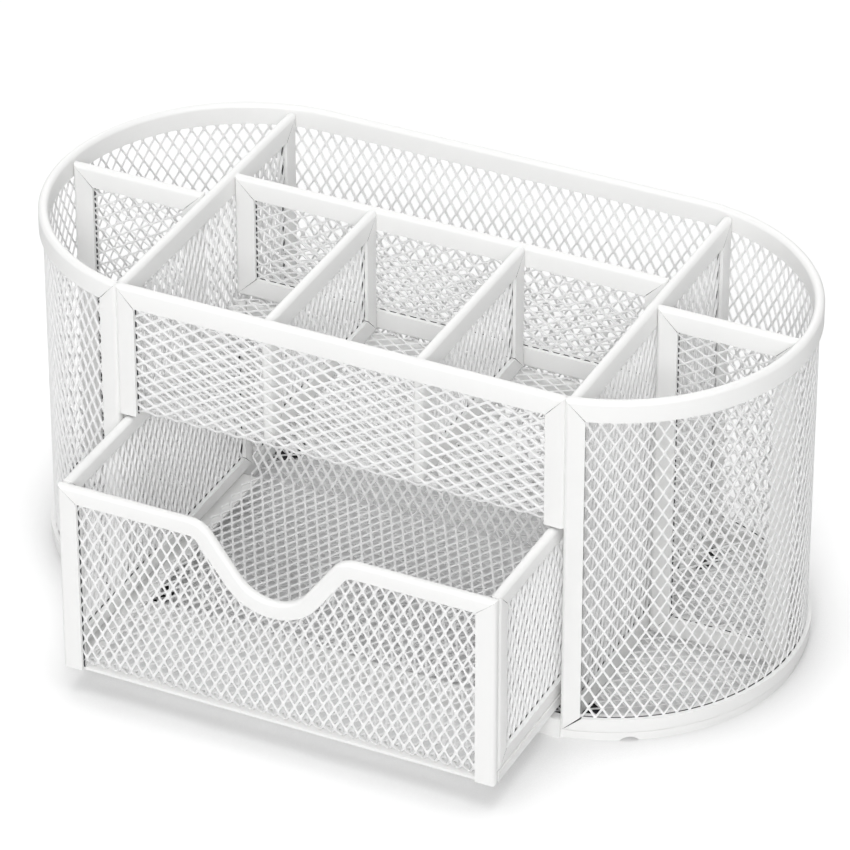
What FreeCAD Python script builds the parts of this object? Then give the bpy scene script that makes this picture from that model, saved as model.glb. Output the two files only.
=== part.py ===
import FreeCAD, Part
import math
import os
import re

# Desk pen stand in expanded steel mesh: an oval body cut flat at the front, trays on top, a drawer below.
# Frame: millimetres, +Z up, origin on the desk under the middle of the body, front towards -Y.

doc = FreeCAD.newDocument("PenStand")
dims = doc.addObject("Spreadsheet::Sheet", "Dims")

SIZES = {
    # body plan and height
    "half_straight": 55.0,
    "wall_radius": 55.0,
    "body_top": 106.0,
    "front_half": 65.0,
    "front_face": 54.08,
    "post_end": 70.3,
    # folded channel and mesh sheet
    "channel_width": 2.8,
    "channel_depth": 6.0,
    "channel_web": 1.0,
    "slot_width": 0.9,
    "sheet_thick": 0.8,
    "fold_flat": 0.6,
    "sheet_inset": 1.2,
    "seam_gap": 0.2,
    "fit_gap": 0.1,
    "bend_radius": 2.0,
    "lip_reach": 2.5,
    # base
    "lip_top": 2.6,
    "lip_inset": 1.0,
    "low_rim_top": 7.2,
    "base_flange": 5.0,
    "floor_top": 1.6,
    "sill_top": 6.0,
    "notch_half": 2.6,
    "notch_high": 1.1,
    "notch_turn": 60.0,
    # inner partitions
    "divider_in": 64.2,
    "divider_out": 67.0,
    "divider_reach": 50.7,
    "divider_top": 104.5,
    "short_far": 106.9,
    "short_mid": 0.9,
    "shelf_low": 66.2,
    "shelf_back": 52.0,
    "border_in": 59.6,
    "tray_back": 12.6,
    "tray_split": 22.0,
    # drawer
    "drawer_half": 63.4,
    "drawer_face": 91.5,
    "drawer_rear": 14.4,
    "drawer_low": 8.2,
    "drawer_top": 65.8,
    "drawer_band": 4.6,
    "drawer_post": 5.6,
    "strip_top": 11.1,
    "strip_flange": 6.0,
    "tray_half": 60.5,
    # finger dip in the drawer front
    "dip_shift": -0.8,
    "dip_half": 24.0,
    "dip_depth": 19.0,
    "shoulder_radius": 8.0,
    "valley_radius": 12.0,
    # openings of the mesh, and the plain sheet left round them
    "long_pitch": 50.0,
    "short_pitch": 33.0,
    "floor_long": 60.0,
    "floor_short": 40.0,
    "wall_long": 46.0,
    "wall_short": 25.0,
    "strand": 1.6,
    "frame_margin": 1.0,
    "sheet_margin": 2.0,
    "punch_reach": 2.0,
}

for row, (alias, value) in enumerate(SIZES.items(), 1):
    dims.set(f"A{row}", alias)
    dims.set(f"B{row}", str(value))
    dims.setAlias(f"B{row}", alias)
doc.recompute()

NEAR = 0.01
parts = []


def bound(text):
    """Sheet expression from one written with bare size names."""
    return re.sub(r"[a-z][a-z_]+", lambda word: "Dims." + word.group(0), text)


def size(name):
    """Value held by the sheet."""
    return float(getattr(dims, name))


def keep(node, item):
    """Name a finished piece."""
    item.Label = node
    parts.append(item)
    return item


def box(x, y, z):
    """Block between three pairs of sheet expressions."""
    block = doc.addObject("Part::Box", "Block")
    for side, axis, (low, high) in (("Length", "x", x), ("Width", "y", y), ("Height", "z", z)):
        block.setExpression(side, bound(f"({high}) - ({low})"))
        block.setExpression(f"Placement.Base.{axis}", bound(low))
    return block


def cylinder(x, radius, z):
    """Upright cylinder on the long centre line."""
    round_bar = doc.addObject("Part::Cylinder", "Round")
    round_bar.setExpression("Radius", bound(radius))
    round_bar.setExpression("Height", bound(f"({z[1]}) - ({z[0]})"))
    round_bar.setExpression("Placement.Base.x", bound(x))
    round_bar.setExpression("Placement.Base.z", bound(z[0]))
    return round_bar


def cut(base, tool):
    """Base less tool."""
    item = doc.addObject("Part::Cut", "Cut")
    item.Base = base
    item.Tool = tool
    item.Refine = True
    return item


def fuse(*shapes):
    """Union."""
    item = doc.addObject("Part::MultiFuse", "Fuse")
    item.Shapes = list(shapes)
    item.Refine = True
    return item


def common(*shapes):
    """Shared volume."""
    item = doc.addObject("Part::MultiCommon", "Common")
    item.Shapes = list(shapes)
    return item


def mirrored(source):
    """Copy on the other side of the middle plane."""
    item = doc.addObject("Part::Mirroring", "Mirror")
    item.Source = source
    item.Normal = FreeCAD.Vector(1, 0, 0)
    return item


def rounded(base, radius, chosen, kind="Part::Fillet"):
    """Base with the chosen edges rounded, or flattened for a chamfer."""
    doc.recompute()
    item = doc.addObject(kind, "Rounded")
    item.Base = base
    edges = enumerate(base.Shape.Edges, 1)
    item.Edges = [(number, radius, radius) for number, edge in edges if chosen(edge)]
    return item


def eased(base, chosen):
    """Base with the small flats that stand for the folded edges of a channel."""
    return rounded(base, size("fold_flat"), chosen, "Part::Chamfer")


def feature(label, shape):
    """Helper shape whose sizes were read from the sheet."""
    item = doc.addObject("Part::Feature", label)
    item.Shape = shape
    return item


def stadium(radius, z):
    """Solid oval: two end rounds joined by a block."""
    block = box(("-half_straight", "half_straight"), (f"-({radius})", radius), z)
    return fuse(block, cylinder("-half_straight", radius, z), cylinder("half_straight", radius, z))


def ring(inner, outer, z):
    """Oval ring."""
    return cut(stadium(outer, z), stadium(inner, z))


def shrunk(span, by):
    """Span pulled in at both ends."""
    return (f"({span[0]}) + {by}", f"({span[1]}) - {by}")


def grown(span, by):
    """Span pushed out at both ends."""
    return (f"({span[0]}) - {by}", f"({span[1]}) + {by}")


def middle(span, thick):
    """Layer of a given thickness in the middle of a span."""
    centre = f"(({span[0]}) + ({span[1]})) / 2"
    return (f"{centre} - {thick} / 2", f"{centre} + {thick} / 2")


def mitre(start, end, y):
    """Block that takes away everything left of the line from start to end, seen from the front."""
    along = (FreeCAD.Vector(end[0], 0, end[1]) - FreeCAD.Vector(start[0], 0, start[1])).normalize()
    left = FreeCAD.Vector(-along.z, 0, along.x)
    base = FreeCAD.Vector(start[0], 0, start[1]) - left * (size("seam_gap") / 2)
    base.y = y[0]
    turn = math.degrees(math.atan2(-along.z, along.x))
    block = doc.addObject("Part::Box", "Mitre")
    block.setExpression("Length", bound("2 * channel_depth"))
    block.setExpression("Height", bound("2 * channel_depth"))
    block.Width = y[1] - y[0]
    block.Placement = FreeCAD.Placement(base, FreeCAD.Rotation(FreeCAD.Vector(0, 1, 0), turn))
    return block


def across_face(front):
    """Span in y that clears a channel whose front stands at one y."""
    return (front - 1, front + size("channel_width") + 1)


# ---------------------------------------------------------------- edges to fold

def level(z):
    """Picks the edges that lie flat at one height."""
    return lambda edge: abs(edge.BoundBox.ZMin - z) < NEAR and abs(edge.BoundBox.ZMax - z) < NEAR


def level_crosswise(z):
    """Picks the edges that run left to right at one height."""
    return lambda edge: level(z)(edge) and edge.BoundBox.YLength < NEAR


def upright(x):
    """Picks the edges that stand upright at one x."""
    return lambda edge: edge.BoundBox.ZLength > 1 and max(abs(edge.BoundBox.XMin - x),
                                                          abs(edge.BoundBox.XMax - x)) < NEAR


def crosswise(y, z):
    """Picks the edges that run left to right at one y and one height."""
    return lambda edge: (edge.BoundBox.XLength > 1 and abs(edge.CenterOfMass.y - y) < NEAR
                         and abs(edge.CenterOfMass.z - z) < NEAR)


def on_oval(edge, radius):
    """Tells whether an edge follows the oval of one radius."""
    place = edge.valueAt((edge.FirstParameter + edge.LastParameter) / 2)
    beyond = max(0, abs(place.x) - size("half_straight"))
    return abs(math.hypot(beyond, place.y) - radius) < NEAR


# ---------------------------------------------------------------- mesh openings

def lattice(width, height, pitch_u, pitch_v):
    """Diamonds that fill a window: the centre and the tips of each, halved at the window's edges."""
    across = max(1, round(width / pitch_u))
    up = max(1, round(height / pitch_v))
    half_u = width / across / 2
    half_v = height / up / 2
    scale = 1 - size("strand") / 2 / (half_u * half_v / math.hypot(half_u, half_v))
    reach = ((half_u * scale, 0), (0, half_v * scale), (-half_u * scale, 0), (0, -half_v * scale))
    diamonds = []
    for i in range(2 * across + 1):
        for j in range(i % 2, 2 * up + 1, 2):
            u = i * half_u
            v = j * half_v
            tips = [(du, dv) for du, dv in reach
                    if -NEAR < u + du < width + NEAR and -NEAR < v + dv < height + NEAR]
            corner = [(0, 0)] if len(tips) == 2 else []
            diamonds.append((u, v, corner + tips))
    return diamonds


def prism(centre, across, up, tips):
    """Cutter through the sheet with its tips laid out round one place."""
    push = across.cross(up) * size("punch_reach")
    points = [centre - push + across * du + up * dv for du, dv in tips]
    return Part.Face(Part.makePolygon(points + points[:1])).extrude(push * 2)


def flat_openings(corner, across, up, width, height, pitch_u, pitch_v):
    """Diamonds over a flat window given by its corner and two directions."""
    return [prism(corner + across * u + up * v, across, up, tips)
            for u, v, tips in lattice(width, height, pitch_u, pitch_v)]


def openings(label, prisms):
    """One cutter holding a set of prisms."""
    return feature(label, Part.makeCompound(prisms))


X = FreeCAD.Vector(1, 0, 0)
Y = FreeCAD.Vector(0, 1, 0)
Z = FreeCAD.Vector(0, 0, 1)
DIRECTIONS = {"x": X, "y": Y, "z": Z}
LONG = size("long_pitch")
SHORT = size("short_pitch")
FLOOR_LONG = size("floor_long")
FLOOR_SHORT = size("floor_short")
FRAME_MARGIN = size("frame_margin")
SHEET_MARGIN = size("sheet_margin")
thick = size("sheet_thick")

# ---------------------------------------------------------------- framed flat panels


def framed_panel(node, x, y, z, thin, band, pitches):
    """Rectangular panel: mesh sheet clamped in a channel frame."""
    spans = {"x": x, "y": y, "z": z}
    long_axes = [axis for axis in "xyz" if axis != thin]
    outer = box(x, y, z)
    direction = DIRECTIONS[thin]
    shell = eased(outer, lambda edge: abs(edge.tangentAt(0).dot(direction)) < NEAR)
    window = {axis: shrunk(spans[axis], band) for axis in long_axes}
    window[thin] = grown(spans[thin], "1")
    slot = {axis: shrunk(spans[axis], "channel_web") for axis in long_axes}
    slot[thin] = middle(spans[thin], "slot_width")
    frame = cut(shell, fuse(box(*[window[a] for a in "xyz"]), box(*[slot[a] for a in "xyz"])))
    keep(node + "_frame", frame)

    sheet_span = {axis: shrunk(spans[axis], "sheet_inset") for axis in long_axes}
    sheet_span[thin] = middle(spans[thin], "sheet_thick")
    sheet = box(*[sheet_span[a] for a in "xyz"])
    doc.recompute()
    bounds = outer.Shape.BoundBox
    low = {"x": bounds.XMin, "y": bounds.YMin, "z": bounds.ZMin}
    high = {"x": bounds.XMax, "y": bounds.YMax, "z": bounds.ZMax}
    across, up = [DIRECTIONS[axis] for axis in long_axes]
    margin = size(band) + FRAME_MARGIN
    width, height = [high[a] - low[a] - 2 * margin for a in long_axes]
    mid = (low[thin] + high[thin]) / 2
    corner = direction * mid + across * (low[long_axes[0]] + margin) + up * (low[long_axes[1]] + margin)
    prisms = flat_openings(corner, across, up, width, height, *pitches)
    keep(node + "_mesh", cut(sheet, openings("Diamonds", prisms)))


def framed_pair(node, *shape):
    """The right-hand panel of that name and its mirrored copy on the left."""
    framed_panel(node, *shape)
    for item in parts[-2:]:
        keep(item.Label.replace("right", "left"), mirrored(item))


# full-depth dividers either side of the trays and the drawer
framed_pair("right_divider", ("divider_in", "divider_out"), ("-divider_reach", "divider_reach"),
            ("floor_top + fit_gap / 2", "divider_top"), "x", "channel_depth", (SHORT, LONG))

# short dividers across the middle of each end
framed_pair("right_short_divider", ("divider_out + fit_gap", "short_far"),
            ("short_mid - channel_width / 2", "short_mid + channel_width / 2"),
            ("floor_top + fit_gap / 2", "divider_top"), "y", "channel_depth", (LONG, SHORT))

# wall behind the trays
shelf_top = "shelf_low + sheet_thick + fit_gap / 2"
framed_panel("tray_back_wall", ("fit_gap - divider_in", "divider_in - fit_gap"),
             ("tray_back", "tray_back + channel_width"),
             (shelf_top, "divider_top"), "y", "channel_depth", (LONG, SHORT))

# dividers between the three trays
framed_pair("right_tray_divider", ("tray_split - channel_width / 2", "tray_split + channel_width / 2"),
            ("fit_gap + channel_width - front_face", "tray_back - fit_gap"),
            (shelf_top, "divider_top"), "x", "channel_depth", (SHORT, LONG))

# drawer sides
framed_pair("drawer_right_side", ("drawer_half - channel_width", "drawer_half"),
            ("fit_gap + channel_width - drawer_face", "drawer_rear"),
            ("strip_top + fit_gap", "drawer_top"), "x", "drawer_band", (SHORT, LONG))

# ---------------------------------------------------------------- curved wall and its rims

RIM_INNER = "wall_radius - channel_width"
WALL_MIDDLE = "(wall_radius - channel_width / 2)"
SLOT = (f"{WALL_MIDDLE} - slot_width / 2", f"{WALL_MIDDLE} + slot_width / 2")
SHEET = (f"{WALL_MIDDLE} - sheet_thick / 2", f"{WALL_MIDDLE} + sheet_thick / 2")
FRONT_STRIP = (("-front_half", "front_half"), ("-2 * wall_radius", "0"))

post_in = size("front_half")
post_out = size("post_end")
body_top = size("body_top")
rim_low = size("body_top") - size("channel_depth")
lip_top = size("lip_top")
low_top = size("low_rim_top")
post_y = (-size("wall_radius"), 2 * size("channel_depth") - size("wall_radius"))


def curved_rim(node, z, slot_z, fold_z, line):
    """Channel round both ends and the back, stopped by a mitre at each post."""
    body = eased(ring(RIM_INNER, "wall_radius", z),
                 lambda edge: level(fold_z)(edge) and on_oval(edge, size("wall_radius")))
    groove = ring(*SLOT, slot_z)
    gap = box(*FRONT_STRIP, grown(z, "1"))
    seam = mitre(*line, post_y)
    keep(node, cut(body, fuse(groove, gap, seam, mirrored(seam))))


curved_rim("wall_top_rim", ("body_top - channel_depth", "body_top"),
           ("body_top - channel_depth - 1", "body_top - channel_web"), body_top,
           ((post_out, rim_low), (post_in, body_top)))
curved_rim("wall_bottom_rim", ("lip_top", "low_rim_top"),
           ("lip_top + channel_web", "low_rim_top + 1"), lip_top,
           ((post_in, lip_top), (post_out, low_top)))

# upright posts where the curved wall meets the flat front
post_z = ("lip_top", "body_top")
post_block = common(ring(RIM_INNER, "wall_radius", post_z),
                    box(("front_half", "post_end"), ("-2 * wall_radius", "0"), post_z))
post_round = eased(post_block, upright(post_in))
post_groove = common(ring(*SLOT, grown(post_z, "1")),
                     box(("front_half + channel_web", "2 * wall_radius"), ("-2 * wall_radius", "0"),
                         grown(post_z, "1")))
top_seam = mitre((post_in, body_top), (post_out, rim_low), post_y)
low_seam = mitre((post_out, low_top), (post_in, lip_top), post_y)
right_post = keep("right_front_post", cut(post_round, fuse(post_groove, top_seam, low_seam)))
keep("left_front_post", mirrored(right_post))


half_straight = size("half_straight")
wall_radius = size("wall_radius") - size("channel_width") / 2
wall_start = math.asin((post_out + FRAME_MARGIN - half_straight) / wall_radius)
divider_mid = (size("divider_in") + size("divider_out")) / 2
bend_run = wall_radius * (math.pi - wall_start)
quarter_run = wall_radius * (math.pi / 2 - wall_start)
divider_run = bend_run - wall_radius * math.asin((divider_mid - half_straight) / wall_radius)
whole_run = 2 * (bend_run + half_straight)
wall_low = low_top + FRAME_MARGIN
wall_z = ("lip_top + sheet_inset", "body_top - sheet_inset")


def wall_place(run):
    """Point and direction along the wall, a given run from its front right edge."""
    if run < bend_run:
        angle = wall_start + run / wall_radius
        out = FreeCAD.Vector(math.sin(angle), -math.cos(angle), 0)
        return X * half_straight + out * wall_radius, Z.cross(out)
    if run < bend_run + 2 * half_straight:
        return X * (half_straight - (run - bend_run)) + Y * wall_radius, -X
    angle = (run - bend_run - 2 * half_straight) / wall_radius
    out = FreeCAD.Vector(-math.sin(angle), math.cos(angle), 0)
    return X * -half_straight + out * wall_radius, Z.cross(out)


def wall_section(node, x, y, start_run, end_run):
    """Stretch of the curved wall sheet between two partitions, with its own diamonds."""
    sheet = common(ring(*SHEET, wall_z), box(x, y, wall_z))
    clear_run = end_run - start_run - 2 * SHEET_MARGIN
    clear_rise = rim_low - FRAME_MARGIN - wall_low
    prisms = []
    for run, rise, tips in lattice(clear_run, clear_rise, size("wall_short"), size("wall_long")):
        place, along = wall_place(start_run + SHEET_MARGIN + run)
        if len(tips) == 4:
            prisms.append(prism(place + Z * (wall_low + rise), along, Z, tips))
    return keep(node, cut(sheet, openings("WallDiamonds", prisms)))


DIVIDER_MID = "(divider_in + divider_out) / 2"
END_X = (f"{DIVIDER_MID} + fit_gap / 2", "2 * wall_radius")
front_end = wall_section("right_front_wall_mesh", ("front_half + sheet_inset", "2 * wall_radius"),
                         ("-wall_radius", "short_mid - fit_gap / 2"), 0, quarter_run)
back_end = wall_section("right_back_wall_mesh", END_X, ("short_mid + fit_gap / 2", "wall_radius"),
                        quarter_run, divider_run)
keep("left_front_wall_mesh", mirrored(front_end))
keep("left_back_wall_mesh", mirrored(back_end))
wall_section("back_wall_mesh", (f"-{DIVIDER_MID}", DIVIDER_MID), ("0", "wall_radius"),
             divider_run, whole_run - divider_run)

# ---------------------------------------------------------------- tray front and shelf

FACE = ("-front_face", "channel_width - front_face")
face_y = across_face(-size("front_face"))


def channel(x, y, z, slot, chosen, seams):
    """Straight channel: block with folded edges, a slot, and mitred ends."""
    body = eased(box(x, y, z), chosen)
    groove = box(*slot)
    return cut(body, fuse(groove, *seams) if seams else groove)


rim_z = ("body_top - channel_depth", "body_top")
border_in = size("border_in")
rim_seam = mitre((post_in, body_top), (border_in, rim_low), face_y)
rim_span = ("fit_gap / 2 - front_half", "front_half - fit_gap / 2")
rim_slot = (rim_span, middle(FACE, "slot_width"), ("body_top - channel_depth - 1", "body_top - channel_web"))
keep("front_panel_top_rim",
     channel(rim_span, FACE, rim_z, rim_slot, level_crosswise(body_top), [rim_seam, mirrored(rim_seam)]))

border_x = ("border_in", "front_half - fit_gap / 2")
border_z = ("shelf_low + fit_gap", "body_top")
border_slot = (("border_in - 1", "front_half - channel_web"), middle(FACE, "slot_width"),
               grown(border_z, "1"))
border_seam = mitre((border_in, rim_low), (post_in, body_top), face_y)
border = keep("front_panel_right_border",
              channel(border_x, FACE, border_z, border_slot, upright(post_in - size("fit_gap") / 2),
                      [border_seam]))
keep("front_panel_left_border", mirrored(border))

FACE_SHEET = middle(FACE, "sheet_thick")
SHEET_X = ("sheet_inset - front_half", "front_half - sheet_inset")


def lipped_sheet(x, sheet_y, z, inward, relief):
    """Upright sheet whose foot is bent inwards over a lip, notched clear of the channels at its ends."""
    lip_ahead = (sheet_y[0], f"{sheet_y[0]} + lip_reach")
    lip_behind = (f"{sheet_y[1]} - lip_reach", sheet_y[1])
    lip_y = lip_ahead if inward > 0 else lip_behind
    blank = fuse(box(x, sheet_y, z), box(x, lip_y, (z[0], f"{z[0]} + sheet_thick")))
    doc.recompute()
    bounds = blank.Shape.BoundBox
    outer_y = bounds.YMin if inward > 0 else bounds.YMax
    inner_y = outer_y + inward * thick
    outside = rounded(blank, size("bend_radius"), crosswise(outer_y, bounds.ZMin))
    inside = rounded(outside, size("bend_radius") - thick, crosswise(inner_y, bounds.ZMin + thick))
    notch = box((relief, f"{x[1]} + 1"), grown(lip_y, "1"), (f"{z[0]} - 1", f"{z[0]} + lip_reach"))
    return cut(inside, fuse(notch, mirrored(notch)))


SHELF_Z = ("shelf_low", "shelf_low + sheet_thick")
face_front = (size("channel_width") - thick) / 2 - size("front_face")
face_mid = face_front + thick / 2
shelf_low = size("shelf_low")
panel = lipped_sheet(SHEET_X, FACE_SHEET, ("shelf_low", "body_top - sheet_inset"), 1, "border_in - fit_gap")
panel_half = border_in - FRAME_MARGIN
front_low = shelf_low + size("bend_radius") + FRAME_MARGIN
front_holes = flat_openings(FreeCAD.Vector(-panel_half, face_mid, front_low), X, Z, 2 * panel_half,
                            rim_low - FRAME_MARGIN - front_low, LONG, SHORT)
keep("front_panel_mesh", cut(panel, openings("PanelDiamonds", front_holes)))

shelf_half = post_in - SHEET_MARGIN
shelf_front = face_front + size("lip_reach") + SHEET_MARGIN
shelf_sheet = box(SHEET_X, (f"{FACE_SHEET[0]} + lip_reach + fit_gap / 2", "shelf_back"), SHELF_Z)
shelf_holes = flat_openings(FreeCAD.Vector(-shelf_half, shelf_front, shelf_low + thick / 2), X, Y,
                            2 * shelf_half, size("shelf_back") - SHEET_MARGIN - shelf_front,
                            FLOOR_LONG, FLOOR_SHORT)
keep("shelf_mesh", cut(shelf_sheet, openings("ShelfDiamonds", shelf_holes)))

# ---------------------------------------------------------------- base

LIP = ("wall_radius - lip_inset - sheet_thick", "wall_radius - lip_inset")
lip = ring(*LIP, ("0", "lip_top"))
flange = ring("wall_radius - lip_inset - base_flange", "wall_radius - lip_inset", ("0", "sheet_thick"))
front_cut = box(*FRONT_STRIP, ("-1", "body_top"))
sill = box(("-front_half", "front_half"), FACE, ("0", "sill_top"))
sill_foot = box(("-front_half", "front_half"), ("channel_web - front_face", "base_flange - front_face"),
                ("0", "sheet_thick"))
notches = []
for side in (-1, 1):
    for turn in (-size("notch_turn"), size("notch_turn")):
        angle = math.radians(turn)
        out = FreeCAD.Vector(side * math.cos(angle), math.sin(angle), 0)
        low = X * (side * half_straight) + out * (size("wall_radius") - size("base_flange"))
        along = Z.cross(out) * size("notch_half")
        arch = Part.Arc(low - along, low + Z * size("notch_high"), low + along).toShape()
        foot = Part.makeLine(low + along, low - along)
        notches.append(Part.Face(Part.Wire([arch, foot])).extrude(out * size("base_flange")))
pan = fuse(cut(fuse(lip, flange), front_cut), sill, sill_foot)
keep("base_rim", cut(pan, openings("LipNotches", notches)))

floor_z = ("sheet_thick", "floor_top")
ahead = box(("-2 * wall_radius", "2 * wall_radius"),
            ("-2 * wall_radius", "channel_width + fit_gap - front_face"), ("0", "body_top"))
floor_plate = cut(stadium("wall_radius - lip_inset - sheet_thick - fit_gap", floor_z), ahead)
floor_reach = size("wall_radius") - size("lip_inset") - size("base_flange")
floor_half = half_straight + floor_reach
prisms = []
for u, v, tips in lattice(2 * floor_half, 2 * floor_reach, LONG, SHORT):
    x = u - floor_half
    y = v - floor_reach
    beyond = [(max(0, abs(x + du) - half_straight), y + dv) for du, dv in tips]
    if all(math.hypot(*place) < floor_reach + NEAR for place in beyond):
        prisms.append(prism(FreeCAD.Vector(x, y, size("floor_top") - thick / 2), X, Y, tips))
keep("base_floor_mesh", cut(floor_plate, openings("FloorDiamonds", prisms)))

# ---------------------------------------------------------------- drawer

DRAWER_FACE = ("-drawer_face", "channel_width - drawer_face")
drawer_half = size("drawer_half")
drawer_low = size("drawer_low")
drawer_top = size("drawer_top")
drawer_y = across_face(-size("drawer_face"))


def dip_line(inset):
    """Wire along the drawer front edge, dipping for a finger, a given depth below the trim's top."""
    shoulder = size("shoulder_radius")
    valley = size("valley_radius")
    middle_x = size("dip_shift")
    both = shoulder + valley
    rise = size("dip_depth") - both
    slope = math.asin(both / math.hypot(size("dip_half"), rise)) + math.atan2(rise, size("dip_half"))
    near = shoulder - inset
    far = valley + inset
    shoulder_z = drawer_top - shoulder
    valley_z = drawer_top - size("dip_depth") + valley

    def at(side, distance, height):
        return FreeCAD.Vector(middle_x + side * distance, 0, height)

    def crest(side, angle):
        return at(side, size("dip_half") - near * math.sin(angle), shoulder_z + near * math.cos(angle))

    def trough(side, angle):
        return at(side, far * math.sin(angle), valley_z - far * math.cos(angle))

    left_end = FreeCAD.Vector(-drawer_half, 0, drawer_top - inset)
    right_end = FreeCAD.Vector(drawer_half, 0, drawer_top - inset)
    return [
        Part.makeLine(left_end, crest(-1, 0)),
        Part.Arc(crest(-1, 0), crest(-1, slope / 2), crest(-1, slope)).toShape(),
        Part.makeLine(crest(-1, slope), trough(-1, slope)),
        Part.Arc(trough(-1, slope), trough(0, 0), trough(1, slope)).toShape(),
        Part.makeLine(trough(1, slope), crest(1, slope)),
        Part.Arc(crest(1, slope), crest(1, slope / 2), crest(1, 0)).toShape(),
        Part.makeLine(crest(1, 0), right_end),
    ]


def wave_band(label, upper, lower, y):
    """Solid between two depths below the wavy top edge, across a span of the drawer front."""
    top = dip_line(upper)
    low = dip_line(lower)
    ends = [Part.makeLine(top[-1].Vertexes[-1].Point, low[-1].Vertexes[-1].Point),
            Part.makeLine(low[0].Vertexes[0].Point, top[0].Vertexes[0].Point)]
    outline = feature(label, Part.Face(Part.Wire(top + [ends[0]] + low[::-1] + [ends[1]])))
    band = doc.addObject("Part::Extrusion", label + "Band")
    band.Base = outline
    band.DirMode = "Custom"
    band.Dir = Y
    band.setExpression("LengthFwd", bound(f"({y[1]}) - ({y[0]})"))
    band.setExpression("Placement.Base.y", bound(y[0]))
    return band


crest_points = [vertex.Point for edge in dip_line(0) for vertex in edge.Vertexes]


def on_crest(edge):
    """Tells whether an edge runs along the wavy top of the front face."""
    ends = [FreeCAD.Vector(v.Point.x, 0, v.Point.z) for v in edge.Vertexes]
    front = abs(edge.BoundBox.YMax + size("drawer_face")) < NEAR
    return front and all(min(p.distanceToPoint(q) for q in crest_points) < NEAR for p in ends)


trim = eased(wave_band("TrimOutline", 0, size("drawer_band"), DRAWER_FACE), on_crest)
trim_slot = wave_band("TrimSlot", size("channel_web"), size("drawer_band") + size("fit_gap"),
                      middle(DRAWER_FACE, "slot_width"))
post_inner = drawer_half - size("drawer_post")
band_low = drawer_top - size("drawer_band")
trim_seam = mitre((drawer_half, drawer_top), (post_inner, band_low), drawer_y)
keep("drawer_front_trim", cut(trim, fuse(trim_slot, trim_seam, mirrored(trim_seam))))

drawer_post_x = ("drawer_half - drawer_post", "drawer_half")
drawer_post_z = ("drawer_low", "drawer_top")
drawer_slot = (("drawer_half - drawer_post - 1", "drawer_half - channel_web"),
               middle(DRAWER_FACE, "slot_width"), grown(drawer_post_z, "1"))
corner_seam = mitre((post_inner, band_low), (drawer_half, drawer_top), drawer_y)
corner_post = keep("drawer_front_right_post",
                   channel(drawer_post_x, DRAWER_FACE, drawer_post_z, drawer_slot, upright(drawer_half),
                           [corner_seam]))
keep("drawer_front_left_post", mirrored(corner_post))

BACK = ("drawer_rear - channel_width", "drawer_rear")
back_x = ("-tray_half", "tray_half")
back_z = ("drawer_top - drawer_band", "drawer_top")
back_slot = (grown(back_x, "1"), middle(BACK, "slot_width"),
             ("drawer_top - drawer_band - 1", "drawer_top - channel_web"))
keep("drawer_back_trim", channel(back_x, BACK, back_z, back_slot, level_crosswise(drawer_top), []))

FRONT_SHEET = middle(DRAWER_FACE, "sheet_thick")
BACK_SHEET = middle(BACK, "sheet_thick")
tray_floor = "drawer_low + sheet_thick"
sheet_up = (tray_floor, "drawer_top - sheet_inset")
tray_low = drawer_low + thick
tray_front = (size("channel_width") - thick) / 2 - size("drawer_face")
tray_rear = size("drawer_rear") - (size("channel_width") - thick) / 2
front_blank = lipped_sheet(back_x, FRONT_SHEET, sheet_up, 1, "drawer_half - drawer_post - fit_gap")
back_blank = lipped_sheet(back_x, BACK_SHEET, sheet_up, -1, "tray_half")
floor_y = (f"{FRONT_SHEET[0]} + lip_reach + fit_gap / 2", f"{BACK_SHEET[1]} - lip_reach - fit_gap / 2")
floor_blank = box(back_x, floor_y, (tray_floor, "drawer_low + 2 * sheet_thick"))
dip_edges = dip_line(size("sheet_inset"))
above = [dip_edges[0].Vertexes[0].Point, FreeCAD.Vector(-drawer_half, 0, body_top),
         FreeCAD.Vector(drawer_half, 0, body_top), dip_edges[-1].Vertexes[-1].Point]
dip_face = Part.Face(Part.Wire(dip_edges + [Part.makeLine(a, b) for a, b in zip(above, above[1:])][::-1]))
dip_face.translate(FreeCAD.Vector(0, drawer_y[0], 0))
dip_tool = feature("DipCut", dip_face.extrude(Y * (drawer_y[1] - drawer_y[0])))

tray_half = size("tray_half")
floor_half = tray_half - SHEET_MARGIN
window_half = post_inner - FRAME_MARGIN
sheet_low = tray_low + size("bend_radius") + FRAME_MARGIN
sheet_top = band_low - FRAME_MARGIN
front_mid = tray_front + thick / 2
dip_low = sheet_top - size("dip_depth") - FRAME_MARGIN
front_holes = flat_openings(FreeCAD.Vector(-window_half, front_mid, sheet_low), X, Z, 2 * window_half,
                            dip_low - sheet_low, SHORT, LONG)
crest_reach = size("dip_half") + size("shoulder_radius")
beside_dip = ((-window_half, size("dip_shift") - crest_reach), (size("dip_shift") + crest_reach, window_half))
for left, right in beside_dip:
    front_holes += flat_openings(FreeCAD.Vector(left, front_mid, dip_low), X, Z, right - left,
                                 sheet_top - dip_low, SHORT, LONG)
keep("drawer_front_mesh", cut(cut(front_blank, dip_tool), openings("FrontDiamonds", front_holes)))
floor_front = tray_front + size("lip_reach") + SHEET_MARGIN
floor_back = tray_rear - size("lip_reach") - SHEET_MARGIN
floor_holes = flat_openings(FreeCAD.Vector(-floor_half, floor_front, tray_low + thick / 2), X, Y,
                            2 * floor_half, floor_back - floor_front, FLOOR_SHORT, FLOOR_LONG)
keep("drawer_floor_mesh", cut(floor_blank, openings("TrayDiamonds", floor_holes)))
back_holes = flat_openings(FreeCAD.Vector(-floor_half, tray_rear - thick / 2, sheet_low), X, Z,
                           2 * floor_half, sheet_top - sheet_low, FLOOR_SHORT, FLOOR_LONG)
keep("drawer_back_mesh", cut(back_blank, openings("BackDiamonds", back_holes)))

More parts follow.
